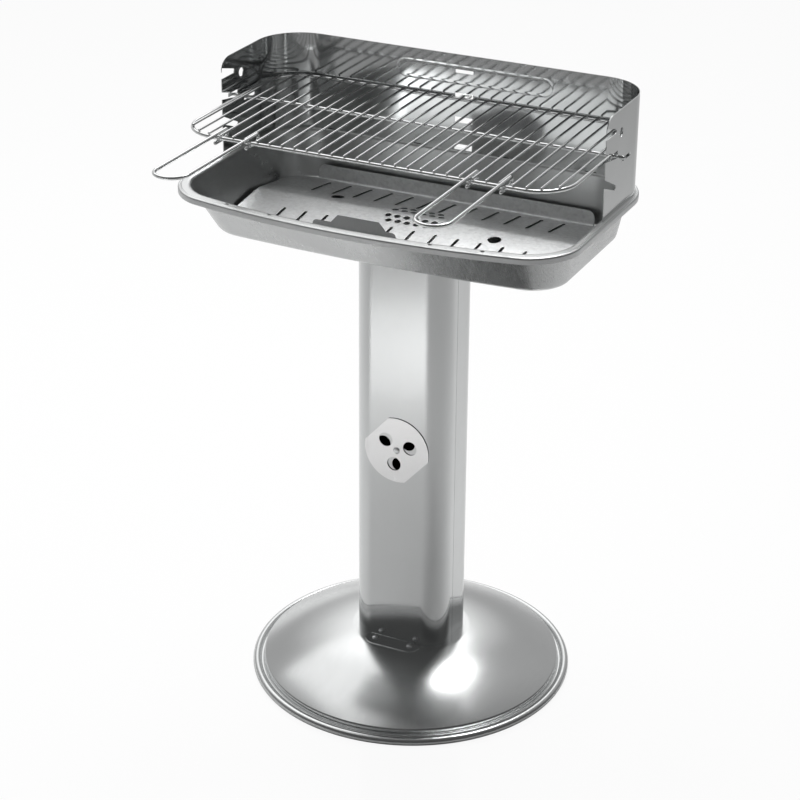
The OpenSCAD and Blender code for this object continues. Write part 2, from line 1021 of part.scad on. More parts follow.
module handle(bars_out) {
    placed()
        translate([bars_out * bar_pitch, 0, 0])
            union() {
                for (x = [-leg_x, leg_x]) {
                    wire([x, -hook_reach, leg_z], [x, tip_y, leg_z], handle_wire_r);
                    translate([x, -hook_reach, frame_z])
                        rotate([90, 0, 90])
                            bend(hook_bend_r, handle_wire_r, -90, 180);
                    wire([x, -hook_reach, under_z], [x, -grid_front - hook_past, under_z], handle_wire_r);
                }
                translate([0, tip_y, leg_z])
                    bend(leg_x, handle_wire_r, 180, 180);
            }
}

module handle_left() {
    color("gainsboro")
        handle(-left_bar_count - 0.5);
}

module handle_right() {
    color("gainsboro")
        handle(right_bar_count + 0.5);
}

base_dish();
column_front();
column_rear();
cap_plate();
foot_screws();
foot_nuts();
damper_disc();
damper_washer();
damper_rivet();
fire_pan();
pan_screws();
pan_nuts();
coal_tray();
wind_shield();
shield_screws();
shield_nuts();
grid_frame();
grid_bars();
grid_cross_wire();
grid_hook();
handle_left();
handle_right();
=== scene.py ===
"""Charcoal grill on a round foot: smooth sheet metal, wires, finishes, camera and light."""

from functools import cache
from math import cos, pi, radians, sin, sqrt

import bpy
import numpy as np
from bpy.props import FloatProperty, FloatVectorProperty, PointerProperty
from mathutils import Matrix, Vector
from mathutils.geometry import delaunay_2d_cdt


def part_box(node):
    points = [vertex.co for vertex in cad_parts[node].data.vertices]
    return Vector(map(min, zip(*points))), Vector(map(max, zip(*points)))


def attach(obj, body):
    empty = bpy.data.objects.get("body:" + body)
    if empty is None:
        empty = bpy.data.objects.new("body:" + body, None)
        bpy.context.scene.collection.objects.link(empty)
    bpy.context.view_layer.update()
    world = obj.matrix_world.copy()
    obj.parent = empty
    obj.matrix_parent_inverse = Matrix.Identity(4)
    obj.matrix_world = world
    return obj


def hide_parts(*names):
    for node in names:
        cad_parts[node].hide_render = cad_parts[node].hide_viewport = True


bl_info = {
    "name": "Charcoal grill",
    "version": (1, 0, 0),
    "blender": (4, 5, 0),
    "location": "View3D > Sidebar > Grill",
    "description": "Builds the looks of a charcoal grill over its packed model",
    "category": "Add Mesh",
}

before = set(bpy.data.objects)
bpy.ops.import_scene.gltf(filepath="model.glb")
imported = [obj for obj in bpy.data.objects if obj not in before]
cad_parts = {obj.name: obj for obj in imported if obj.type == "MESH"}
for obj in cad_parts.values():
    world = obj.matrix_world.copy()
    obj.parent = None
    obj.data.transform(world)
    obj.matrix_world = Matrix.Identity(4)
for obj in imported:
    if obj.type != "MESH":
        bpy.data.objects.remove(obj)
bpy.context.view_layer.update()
MM = 0.001
_foot_low, _foot_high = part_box("base_dish")
AXIS_Y = (_foot_low.y + _foot_high.y) / 2 / MM

# Levels, half widths, radii and gaps in millimetres, about the column's axis
PAN_Z = 654.0
RIM_Z = 725.0
SHIELD_TOP = 858.0
GRID_Z = 799.0
SHEET = 1.0
FOOT_SHEET = 1.2
CAP_SHEET = 1.5
COLUMN_HALF = (69.0, 50.7)
COLUMN_R = 30.6
SEAM_Y = -12.0
DAMPER_Z = 357.0
AIR_RING_R = 21
AIR_HOLE_R = 10
RIVET_R = 2.5
FOOT_TOP = 60.0
SCREW_HOLE_R = 2.6
SHIELD_REAR = 135.7
SHIELD_SCREWS_X = (-190, -65, 65, 190)
SHIELD_SCREWS_Y = SHIELD_REAR + 6
WIRE_R = 2.5
BAR_PITCH = 17.4
SEAT = 0.3  # gap between pieces that rest on each other
WELD_GAP = 0.05


# ---- sizes and colours

class GrillSizes(bpy.types.PropertyGroup):
    rim_round: FloatProperty(
        name="Rim rounding", description="Radius of the pan's rolled outer edge",
        default=2.1 * MM, min=0.5 * MM, max=2.2 * MM, unit="LENGTH")
    mouth_round: FloatProperty(
        name="Mouth rounding", description="Radius of the bend between the pan's flange and its walls",
        default=5.0 * MM, min=0.5 * MM, max=9 * MM, unit="LENGTH")
    bead_height: FloatProperty(
        name="Bead height", description="How far the oval bead stands proud of the shield",
        default=0.08 * MM, min=0.0, max=1.5 * MM, unit="LENGTH")
    ridge_round: FloatProperty(
        name="Ridge rounding", description="Half width of the bend along the tray's ridge",
        default=5.0 * MM, min=1 * MM, max=12 * MM, unit="LENGTH")


def colour_setting(name, reflecting, *default):
    """A colour property: its name, what reflects the colour, and its default."""
    return FloatVectorProperty(name=name, description=f"Reflected colour of {reflecting}", subtype="COLOR", size=3,
                               default=default, min=0, max=1)


class GrillFinish(bpy.types.PropertyGroup):
    column_colour: colour_setting("Column colour", "the polished column", 0.65, 0.66, 0.66)
    damper_colour: colour_setting("Damper colour", "the damper disc", 0.90, 0.90, 0.90)
    foot_colour: colour_setting("Foot colour", "the satin foot", 0.66, 0.67, 0.67)
    pan_colour: colour_setting("Pan colour", "the pan's sheet", 0.66, 0.67, 0.67)
    shield_colour: colour_setting("Shield colour", "the mirror-polished shield", 0.60, 0.61, 0.61)
    tray_colour: colour_setting("Tray colour", "the galvanised tray", 0.96, 0.97, 0.97)
    wire_colour: colour_setting("Wire colour", "the chromed wires", 0.78, 0.79, 0.79)
    screw_colour: colour_setting("Screw colour", "the zinc-plated screws", 0.80, 0.81, 0.82)
    polish: FloatProperty(
        name="Polish", description="Roughness of the mirror-polished shield",
        subtype="FACTOR", default=0.07, min=0, max=1)


# ---- surfaces

def unit(vectors):
    """The vectors with length one."""
    return vectors / np.maximum(np.linalg.norm(vectors, axis=-1, keepdims=True), 1e-12)


def surface_normals(points, loop_u, loop_v, side):
    """Unit cross product of the surface's two directions, each the difference of the neighbours."""
    def along(axis, loop):
        if loop:
            return np.roll(points, -1, axis) - np.roll(points, 1, axis)
        return np.gradient(points, axis=axis)
    return unit(side * np.cross(along(0, loop_u), along(1, loop_v)))


def grid_patch(points, side=1, loop_u=False, loop_v=False, normals=None):
    """Quads over a grid of points P(u, v), with the grid's own smooth normals."""
    nu, nv = points.shape[:2]
    if normals is None:
        normals = surface_normals(points, loop_u, loop_v, side)
    i = np.arange(nu if loop_u else nu - 1)[:, None]
    j = np.arange(nv if loop_v else nv - 1)[None, :]
    i1, j1 = (i + 1) % nu, (j + 1) % nv
    quads = np.stack(np.broadcast_arrays(i * nv + j, i1 * nv + j, i1 * nv + j1, i * nv + j1), -1)
    return points.reshape(-1, 3), normals.reshape(-1, 3), quads.reshape(-1, 4)


def fan_patch(ring, centre, normal):
    """Triangles from a centre point to a closed ring."""
    n = len(ring)
    i = np.arange(n)
    faces = np.stack([i, (i + 1) % n, np.full(n, n)], -1)
    return np.vstack([ring, centre]), np.tile(normal, (n + 1, 1)).astype(float), faces


def inside(points, loops):
    """Even-odd test of points against closed loops: an odd number of edges crosses the ray along +X."""
    crossed = np.zeros(len(points), int)
    for loop in loops:
        p, q = loop, np.roll(loop, -1, 0)
        x, y = points[:, :1], points[:, 1:]
        spans = (p[:, 1] > y) != (q[:, 1] > y)
        rise = np.where(q[:, 1] == p[:, 1], 1.0, q[:, 1] - p[:, 1])
        crossed += (spans & (x < p[:, 0] + (y - p[:, 1]) * (q[:, 0] - p[:, 0]) / rise)).sum(1)
    return crossed % 2 == 1


def on_loops(points, loops):
    """True for points that lie on an edge of one of the loops."""
    near = np.zeros(len(points), bool)
    for loop in loops:
        p, d = loop, np.roll(loop, -1, 0) - loop
        t = ((points[:, None] - p) * d).sum(-1) / np.maximum((d * d).sum(-1), 1e-12)
        foot = p + np.clip(t, 0, 1)[..., None] * d
        near |= np.linalg.norm(points[:, None] - foot, axis=-1).min(1) < 1e-3
    return near


def plate_patches(loops, place, thickness, lines=(), open_loops=()):
    """A cut sheet: the flat region between loops, filled with triangles whose edges follow the loops and lines,
    is carried to P(u, v), doubled at P - thickness * N, and walled along its loops except the open ones."""
    loops = [np.asarray(c, float) for c in loops]
    chains = [(c, True) for c in loops] + [(c, False) for c in lines]
    starts = np.cumsum([0] + [len(c) for c, _ in chains])
    edges = np.vstack([
        np.stack([np.arange(len(c)), (np.arange(len(c)) + 1) % len(c)], -1)[: len(c) if closed else -1] + start
        for (c, closed), start in zip(chains, starts)])
    flat = [Vector(p) for c, _ in chains for p in c.tolist()]
    made = delaunay_2d_cdt(flat, edges.tolist(), [], 1, 1e-5)
    uv, tris = np.array([v[:] for v in made[0]]), np.array(made[2])
    tris = tris[inside(uv[tris].mean(1), loops)]
    used, tris = np.unique(tris, return_inverse=True)
    tris = tris.reshape(-1, 3)
    uv = uv[used]
    outer, normals = place(uv)
    inner = outer - thickness * normals
    half = np.vstack([tris[:, [0, 1]], tris[:, [1, 2]], tris[:, [2, 0]]])
    _, first, count = np.unique(np.sort(half, 1), axis=0, return_index=True, return_counts=True)
    rim = half[first[count == 1]]
    a, b = rim[~on_loops(uv[rim].mean(1), open_loops)].T
    corners = np.stack([outer[a], outer[b], inner[b], inner[a]], 1)
    wall_n = unit(np.cross(outer[b] - outer[a], normals[a]))
    wall = (corners.reshape(-1, 3), np.repeat(wall_n, 4, 0), np.arange(4 * len(a)).reshape(-1, 4))
    return [(outer, normals, tris), (inner, -normals, tris), wall]


def facing(points, normals, faces):
    """The faces, each turned so that its winding agrees with its corners' normals."""
    p = points[faces]
    face_n = np.cross(p[:, 1] - p[:, 0], p[:, 2] - p[:, 0]) + np.cross(p[:, 2] - p[:, 0], p[:, -1] - p[:, 0])
    turned = (face_n * normals[faces].sum(1)).sum(-1) < 0
    return np.where(turned[:, None], faces[:, ::-1], faces)


def second(patches):
    """The same patches, marked to take a piece's second material."""
    return [(*patch, 1) for patch in patches]


def make_piece(name, patches, finishes, body, nodes):
    """Joins patches and welds the points that share their place and normal, so each keeps its normal."""
    starts = np.cumsum([0] + [len(patch[0]) for patch in patches])
    points = np.vstack([patch[0] for patch in patches])
    normals = np.vstack([patch[1] for patch in patches])
    keys = np.column_stack([np.round(points * 2000), np.round(normals * 50)]).astype(np.int64)
    _, first, welded = np.unique(keys, axis=0, return_index=True, return_inverse=True)
    welded = welded.reshape(-1)
    faces, indices = [], []
    for (p, n, f, *mark), start in zip(patches, starts):
        w = welded[facing(p, n, f) + start]
        w = w[(w != np.roll(w, 1, 1)).all(1)]
        faces += w.tolist()
        indices += (mark or [0]) * len(w)
    mesh = bpy.data.meshes.new(name)
    mesh.from_pydata(((points[first] + [0, AXIS_Y, 0]) * MM).tolist(), [], faces)
    mesh.polygons.foreach_set("use_smooth", np.ones(len(mesh.polygons), bool))
    mesh.normals_split_custom_set_from_vertices(normals[first].tolist())
    for kind in finishes:
        mesh.materials.append(finish(kind))
    mesh.polygons.foreach_set("material_index", indices)
    mesh.update()
    piece = bpy.data.objects.new(name, mesh)
    bpy.context.scene.collection.objects.link(piece)
    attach(piece, body)
    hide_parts(*nodes)


def circle(x, y, r, steps=40):
    """Points x + r cos t, y + r sin t round one turn."""
    t = np.arange(steps) * 2 * pi / steps
    return np.stack([x + r * np.cos(t), y + r * np.sin(t)], -1)


def arc(x, y, r, start, turn, steps=12):
    """Points x + r cos t, y + r sin t from a start angle through a turn, in degrees."""
    t = np.radians(start + turn * np.linspace(0, 1, steps + 1))
    return np.stack([x + r * np.cos(t), y + r * np.sin(t)], -1)


def with_z(line, z):
    """Points (x, y) as (x, y, z)."""
    return np.column_stack([line, np.full(len(line), float(z))])


def rectangle(u0, u1, v0, v1):
    """The four corners of a rectangle, counter-clockwise."""
    return np.array([[u0, v0], [u1, v0], [u1, v1], [u0, v1]])


def corner_arcs(hw, front, rear, front_r, rear_r, steps=12):
    """An outline's four quarter rounds, from the rear right corner and counter-clockwise."""
    return [arc(hw - rear_r, rear - rear_r, rear_r, 0, 90, steps),
            arc(rear_r - hw, rear - rear_r, rear_r, 90, 90, steps),
            arc(front_r - hw, front_r - front, front_r, 180, 90, steps),
            arc(hw - front_r, front_r - front, front_r, 270, 90, steps)]


def flat_plate(z):
    """A level sheet: P = (u, v, z) with its normal up."""
    return lambda uv: (with_z(uv, z), np.tile([0.0, 0.0, 1.0], (len(uv), 1)))


def upright_plate(y):
    """An upright sheet across the grill: P = (u, y, v) with its normal forward."""
    return lambda uv: (np.column_stack([uv[:, 0], np.full(len(uv), y), uv[:, 1]]),
                       np.tile([0.0, -1.0, 0.0], (len(uv), 1)))


def bent_line(u, start, heading, stretches):
    """Point and left-hand normal at a length u along a line of straight and round stretches (length, turn)."""
    x, y = start
    points, normals, done = np.zeros((len(u), 2)), np.zeros((len(u), 2)), 0.0
    for length, turn in stretches:
        here = u >= done - 1e-9
        t = np.append(np.clip(u[here] - done, 0, length), length)
        angle = heading + turn * t / length
        if turn:
            r = length / turn
            x, y = x + r * (np.sin(angle) - sin(heading)), y - r * (np.cos(angle) - cos(heading))
        else:
            x, y = x + t * cos(heading), y + t * sin(heading)
        points[here] = np.stack([x, y], -1)[:-1]
        normals[here] = np.stack([-np.sin(angle), np.cos(angle)], -1)[:-1]
        x, y, heading, done = x[-1], y[-1], heading + turn, done + length
    return points, normals


def u_bend(straight, r, back, steps, low, high):
    """A line of straight, right-hand quarter round, back, quarter round and straight: its stretches, its length,
    and upright lines from low to high at equal steps in both rounds."""
    quarter = r * pi / 2
    stretches = [(straight, 0), (quarter, -pi / 2), (back, 0), (quarter, -pi / 2), (straight, 0)]
    turned = quarter * np.linspace(0, 1, steps + 1)
    stations = np.concatenate([straight + turned, straight + quarter + back + turned])
    return stretches, sum(s for s, _ in stretches), [np.array([[u, low], [u, high]]) for u in stations]


def tube_patches(path, tangents, sides, r, segments=16, closed=False):
    """A round wire: P(s, t) = path(s) + r (cos t side(s) + sin t side(s) x tangent(s)). Open ends are domed."""
    t = np.arange(segments) * 2 * pi / segments
    up = np.cross(sides, tangents)
    ring = np.cos(t)[None, :, None] * sides[:, None] + np.sin(t)[None, :, None] * up[:, None]
    patches = [grid_patch(path[:, None] + r * ring, loop_u=closed, loop_v=True, normals=ring)]
    lift = np.radians(np.linspace(0, 90, 6))[:, None, None]
    for end, sign in () if closed else ((0, -1), (-1, 1)):
        out = sign * tangents[end]
        way = np.cos(lift) * ring[end][None] + np.sin(lift) * out
        cap = path[end] + r * way
        patches.append(grid_patch(cap[:-1], loop_v=True, normals=way[:-1]))
        patches.append(fan_patch(cap[-2], path[end] + r * out, out))
    return patches


def straight_wire(p, q, r, side):
    """A wire along a straight line from p to q."""
    path = np.array([p, q], float)
    return tube_patches(path, np.tile(unit(path[1] - path[0]), (2, 1)), np.array([side, side], float), r)


# ---- finishes

def new_node(tree, kind, sockets=None, **values):
    """A new node: values go to its properties and named sockets, sockets to inputs by number or name."""
    node = tree.nodes.new(kind)
    for key, value in values.items():
        if hasattr(node, key):
            setattr(node, key, value)
        else:
            node.inputs[key.replace("_", " ")].default_value = value
    for key, value in (sockets or {}).items():
        node.inputs[key].default_value = value
    return node


def effect_group(name, output, inputs):
    """A new shader node group that reads a vector and float inputs, and puts out a mask or a normal."""
    tree = bpy.data.node_groups.new(name, "ShaderNodeTree")
    tree.interface.new_socket("Vector", in_out="INPUT", socket_type="NodeSocketVector")
    for label, value in inputs.items():
        tree.interface.new_socket(label, in_out="INPUT", socket_type="NodeSocketFloat").default_value = value
    kind = "NodeSocketVector" if output == "Normal" else "NodeSocketFloat"
    tree.interface.new_socket(output, in_out="OUTPUT", socket_type=kind)
    return tree, tree.nodes.new("NodeGroupInput"), tree.nodes.new("NodeGroupOutput")


def join(tree, *links):
    """Links sockets: each link is a node, its output, the next node and its input."""
    for source, output, target, entry in links:
        tree.links.new(source.outputs[output], target.inputs[entry])


@cache
def sheet_waves():
    """Long shallow waves of polished sheet: one smooth noise feeds a bump."""
    tree, given, out = effect_group("sheet_waves", "Normal", {"Scale": 9.0, "Depth": 0.2, "Detail": 1.0})
    noise = new_node(tree, "ShaderNodeTexNoise", Roughness=0.4, Distortion=0.3)
    bump = new_node(tree, "ShaderNodeBump", Distance=0.002)
    join(tree, (given, "Vector", noise, "Vector"), (given, "Scale", noise, "Scale"),
         (given, "Detail", noise, "Detail"), (noise, "Fac", bump, "Height"), (given, "Depth", bump, "Strength"),
         (bump, "Normal", out, "Normal"))
    return tree


@cache
def handling_marks():
    """Faint cloudy smears and fine scratches, as a mask from 0 to 1."""
    inputs = {"Cloud Scale": 6.0, "Scratch Scale": 60.0, "Stretch": 30.0, "Scratch Share": 0.4}
    tree, given, out = effect_group("handling_marks", "Mask", inputs)
    cloud = new_node(tree, "ShaderNodeTexNoise", Detail=5.0, Roughness=0.6, Distortion=0.6)
    stretch = new_node(tree, "ShaderNodeCombineXYZ", Y=1.0, Z=1.0)
    drawn = new_node(tree, "ShaderNodeVectorMath", operation="MULTIPLY")
    scratch = new_node(tree, "ShaderNodeTexNoise", Detail=3.0, Roughness=0.7)
    mix = tree.nodes.new("ShaderNodeMix")
    spread = new_node(tree, "ShaderNodeMapRange", interpolation_type="SMOOTHSTEP", From_Min=0.3, From_Max=0.7)
    join(tree, (given, "Vector", cloud, "Vector"), (given, "Cloud Scale", cloud, "Scale"),
         (given, "Stretch", stretch, "X"), (given, "Vector", drawn, 0), (stretch, "Vector", drawn, 1),
         (drawn, "Vector", scratch, "Vector"), (given, "Scratch Scale", scratch, "Scale"),
         (given, "Scratch Share", mix, "Factor"), (cloud, "Fac", mix, "A"), (scratch, "Fac", mix, "B"),
         (mix, "Result", spread, "Value"), (spread, "Result", out, "Mask"))
    return tree


@cache
def zinc_spangle():
    """Zinc crystals: the random colour of distorted cells, softened where two cells meet."""
    tree, given, out = effect_group("zinc_spangle", "Mask", {"Scale": 90.0, "Softness": 0.5})
    wobble = new_node(tree, "ShaderNodeTexNoise", Scale=120.0, Detail=2.0)
    moved = new_node(tree, "ShaderNodeVectorMath", {1: (0.006, 0.006, 0.006)}, operation="MULTIPLY_ADD")
    cells = new_node(tree, "ShaderNodeTexVoronoi", feature="SMOOTH_F1")
    split = tree.nodes.new("ShaderNodeSeparateColor")
    join(tree, (given, "Vector", wobble, "Vector"), (wobble, "Color", moved, 0), (given, "Vector", moved, 2),
         (moved, "Vector", cells, "Vector"), (given, "Scale", cells, "Scale"),
         (given, "Softness", cells, "Smoothness"), (cells, "Color", split, "Color"), (split, "Red", out, "Mask"))
    return tree


def metal(name, colour, share, darker, roughness, mask, waves=None):
    """A metal whose colour runs from share * colour to darker times that, and whose roughness runs over a range,
    both by one mask: a node group's function and its values. The waves are given by scale and depth."""
    material = bpy.data.materials.new(name)
    material.use_nodes = True
    tree = material.node_tree
    shader = tree.nodes["Principled BSDF"]
    shader.inputs["Metallic"].default_value = 1.0
    place = tree.nodes.new("ShaderNodeTexCoord")
    group, values = mask
    marks = new_node(tree, "ShaderNodeGroup", values, node_tree=group())
    light = [share * c for c in colour]
    ends = {6: (*light, 1), 7: (*[c * darker for c in light], 1)}
    tint = new_node(tree, "ShaderNodeMix", ends, data_type="RGBA")
    rough = new_node(tree, "ShaderNodeMapRange", To_Min=roughness[0], To_Max=roughness[1])
    join(tree, (place, "Object", marks, "Vector"), (marks, "Mask", tint, 0), (tint, 2, shader, "Base Color"),
         (marks, "Mask", rough, "Value"), (rough, "Result", shader, "Roughness"))
    if waves:
        bumps = new_node(tree, "ShaderNodeGroup", dict(zip(("Scale", "Depth"), waves)), node_tree=sheet_waves())
        join(tree, (place, "Object", bumps, "Vector"), (bumps, "Normal", shader, "Normal"))
    return material


@cache
def finish(kind):
    """The named finish, made once from the colours in the scene's finish settings."""
    f = bpy.context.scene.grill_finish
    marks = (handling_marks, {"Cloud Scale": 7.0, "Scratch Scale": 50.0})
    small_marks = (handling_marks, {"Cloud Scale": 60.0, "Scratch Scale": 400.0})
    spangle = (zinc_spangle, {"Scale": 240.0, "Softness": 0.6})
    recipes = {
        "column": ("polished_column_steel", f.column_colour, 1, 0.95, (0.05, 0.09), marks, (5.0, 0.05)),
        "foot": ("satin_foot_steel", f.foot_colour, 1, 0.93, (0.18, 0.25), marks, (6.0, 0.06)),
        "pan": ("satin_pan_steel", f.pan_colour, 1, 0.92, (0.27, 0.35), marks, (9.0, 0.12)),
        # The pan's own sheet, darker on its outer side and under its floor: painted shade
        "pan_outside": ("pan_outside_steel", f.pan_colour, 0.76, 0.86, (0.22, 0.32), marks, (9.0, 0.08)),
        "shield": ("mirror_shield_steel", f.shield_colour, 1, 0.96, (f.polish, f.polish + 0.05), marks, (11.0, 0.3)),
        "tray": ("galvanised_tray_steel", f.tray_colour, 1, 0.86, (0.40, 0.50), spangle, (40.0, 0.08)),
        # Tray colour darkened to a quarter: painted shade on the grip and on the tray's edge walls
        "grip": ("tray_grip_steel", f.tray_colour, 0.24, 0.9, (0.35, 0.45), marks),
        "wire": ("chromed_wire", f.wire_colour, 1, 0.93, (0.07, 0.14), marks),
        "damper": ("damper_sheet", f.damper_colour, 1, 0.96, (0.22, 0.28), marks),
        # Column colour darkened to an eighth: painted shade on the sheets' edge walls and on the column's seam laps
        "cut_edge": ("cut_edges", f.column_colour, 0.12, 0.9, (0.4, 0.5), marks),
        "screw": ("zinc_screw", f.screw_colour, 1, 0.9, (0.22, 0.34), small_marks),
    }
    return metal(*recipes[kind])


# ---- pieces

class GrillOperator(bpy.types.Operator):
    bl_options = {"REGISTER", "UNDO"}


class BuildFoot(GrillOperator):
    """Round pressed foot: a profile of bead, groove, step and dome turned about the column's axis"""
    bl_idname = "grill.build_foot"
    bl_label = "Foot"

    def execute(self, context):
        """P(s, t) = (r(s) cos t, r(s) sin t, z(s)); the dome rises by (2 u - 0.8 u^2) / 1.2 of its height."""
        dome_r, dome_z, flat_r, hub_r = 209, 17, 82, 30
        round_share = 0.0136  # of the dome's slope, taken by the step's round
        steps = 288
        turn = np.arange(steps) * 2 * pi / steps
        share = np.linspace(round_share, 1, 60)
        dome = np.column_stack([dome_r - (dome_r - flat_r) * share,
                                dome_z + (FOOT_TOP - dome_z) * (2 * share - 0.8 * share ** 2) / 1.2])
        top = np.column_stack([np.linspace(flat_r - 2, hub_r, 8), np.full(8, FOOT_TOP)])
        # Places (r, z) of the rolled bead, the groove behind it and the step under the dome
        bead = arc(219.5, 5.5, 5.5, -90, 250, 26)
        groove = [[213.9, 7.0], [213.3, 6.6], [212.3, 6.4], [211.0, 6.4], [210.0, 6.7], [209.35, 7.4],
                  [209.05, 8.4], [209.0, 10.0], [209.0, 12.6]]
        step = arc(205.6, 15.0, 3.4, 0, 58, 9)
        step_below = [[207.7, 13.4], [207.7, 8.2], [208.8, 5.8], [213.5, 5.2], [215.2, 3.4], [217.0, 1.2]]
        over = np.vstack([bead, groove, step, dome, top])
        under = np.vstack([np.vstack([top[::-1], dome[::-1]]) - [0, FOOT_SHEET], step_below, bead[:1]])
        patches = []
        for line in (over, under):
            r, z = line[:, :1], line[:, 1:]
            points = np.stack(np.broadcast_arrays(r * np.cos(turn), r * np.sin(turn), z), -1)
            patches.append(grid_patch(points, side=-1, loop_v=True))
        for z, up in ((FOOT_TOP, 1.0), (FOOT_TOP - FOOT_SHEET, -1.0)):
            patches.append(fan_patch(with_z(circle(0, 0, hub_r, steps), z), [0, 0, z], [0, 0, up]))
        make_piece("foot", patches, ["foot"], "stand", ["base_dish"])
        return {"FINISHED"}


def foot_tab_patches(side):
    """A flat tab with two screw holes, whose edges are shaded as if they were rounded."""
    hw, reach, r, inset = 41.0, 24.0, 16.0, 2.5
    screw_x, screw_reach = 26.5, 10
    wall = COLUMN_HALF[1]
    root = -wall + SHEET - inset
    outline = np.vstack([[[-hw + inset, root]], arc(r - hw, -wall - reach + r, r, 180, 90),
                         arc(hw - r, -wall - reach + r, r, 270, 90), [[hw - inset, root]]])
    holes = [circle(x, -wall - screw_reach, SCREW_HOLE_R, 24) for x in (-screw_x, screw_x)]
    loops = [loop * [1, side] for loop in [outline] + holes]
    *faces, (points, normals, walls) = plate_patches(loops, flat_plate(FOOT_TOP + SHEET), SHEET)
    return faces + [(points, (normals + [0, 0, 1]) / sqrt(2), walls)]


class BuildColumn(GrillOperator):
    """Column of two bent shells that meet at a seam, each with a foot tab"""
    bl_idname = "grill.build_column"
    bl_label = "Column"

    def execute(self, context):
        """P(u, z) = (bent line(u), z): sides, quarter rounds and a flat face. The front has air and rivet holes."""
        hw, hd = COLUMN_HALF
        low, high = FOOT_TOP, PAN_Z - CAP_SHEET
        lap_x, lap_rear, lap_front = 67.9, -19.9, -10.9
        for name, node, seam, side in (("column_front_shell", "column_front", SEAM_Y - SEAT / 2, -1),
                                       ("column_rear_shell", "column_rear", SEAM_Y + SEAT, 1)):
            stretches, length, lines = u_bend(hd - COLUMN_R - side * seam, COLUMN_R, 2 * (hw - COLUMN_R), 16,
                                              low, high)
            start, heading = ((hw, seam), -pi / 2) if side < 0 else ((-hw, seam), pi / 2)

            def place(uv):
                points, normals = bent_line(uv[:, 0], start, heading, stretches)
                return np.column_stack([points, uv[:, 1]]), with_z(normals, 0)

            loops = [rectangle(0, length, low, high)]
            if side < 0:
                middle = length / 2
                for a in np.radians([158, 38, -82]):
                    x, z = middle - AIR_RING_R * cos(a), DAMPER_Z + AIR_RING_R * sin(a)
                    loops.append(circle(x, z, AIR_HOLE_R, 48))
                loops.append(circle(middle, DAMPER_Z, RIVET_R, 20))
            *shell, edge = plate_patches(loops, place, SHEET, lines)
            # The shell's edge walls take the painted shade
            patches = shell + second([edge]) + foot_tab_patches(-side)
            if side > 0:
                # Laps at the seam, dark all over: painted shade along the seam
                for x in (-1, 1):
                    patches += second(plate_patches(
                        [rectangle(lap_rear, lap_front, low, high)],
                        lambda uv, x=x: (np.column_stack([np.full(len(uv), x * lap_x), uv]),
                                         np.tile([float(x), 0, 0], (len(uv), 1))), SHEET))
            make_piece(name, patches, ["column", "cut_edge"], "stand", [node])
        return {"FINISHED"}


class BuildDamper(GrillOperator):
    """Thin damper disc with two flat edges and three air holes"""
    bl_idname = "grill.build_damper"
    bl_label = "Damper"

    def execute(self, context):
        """The plate between a circle cut by two parallel flats and four round holes, P = (u, y, v)."""
        r, flat_reach, flat_at = 47.5, 40, 138
        half = np.degrees(np.arccos(flat_reach / r))
        outline = np.vstack([arc(0, 0, r, at + half, 180 - 2 * half, 40) for at in (flat_at, flat_at + 180)])
        holes = [circle(AIR_RING_R * cos(a), AIR_RING_R * sin(a), AIR_HOLE_R, 48)
                 for a in np.radians([140, 20, -100])]
        holes.append(circle(0, 0, RIVET_R + 0.1, 20))
        loops = [loop + [0, DAMPER_Z] for loop in [outline] + holes]
        *faces, edge = plate_patches(loops, upright_plate(-COLUMN_HALF[1] - SEAT - SHEET), SHEET)
        # The disc's edge walls take the painted shade, a dark outline round the disc
        make_piece("damper_plate", faces + second([edge]), ["damper", "cut_edge"],
                   "damper", ["damper_disc"])
        return {"FINISHED"}


def pan_outline(hw, front, bow, rear, front_r, rear_r):
    """A closed outline of four quarter rounds and four sides, whose front points move forward by
    bow * y / front * (1 - (x / hw)^2)."""
    corners = corner_arcs(hw, front, rear, front_r, rear_r, 20)
    parts = []
    for corner, following, count in zip(corners, corners[1:] + corners[:1], (40, 10, 40, 10)):
        share = np.linspace(0, 1, count + 2)[1:-1, None]
        parts += [corner, corner[-1] + (following[0] - corner[-1]) * share]
    p = np.vstack(parts)
    x, y = p[:, 0], p[:, 1]
    return np.stack([x, y + np.where(y < 0, bow * y / front * (1 - (x / hw) ** 2), 0)], -1)


def rounding(p, corner, q, r, steps):
    """Points of the quadratic curve that rounds a corner between p and q, starting r from it."""
    a, b = corner + r * unit(p - corner), corner + r * unit(q - corner)
    t = np.linspace(0, 1, steps)[:, None, None]
    return (1 - t) ** 2 * a + 2 * t * (1 - t) * corner + t ** 2 * b


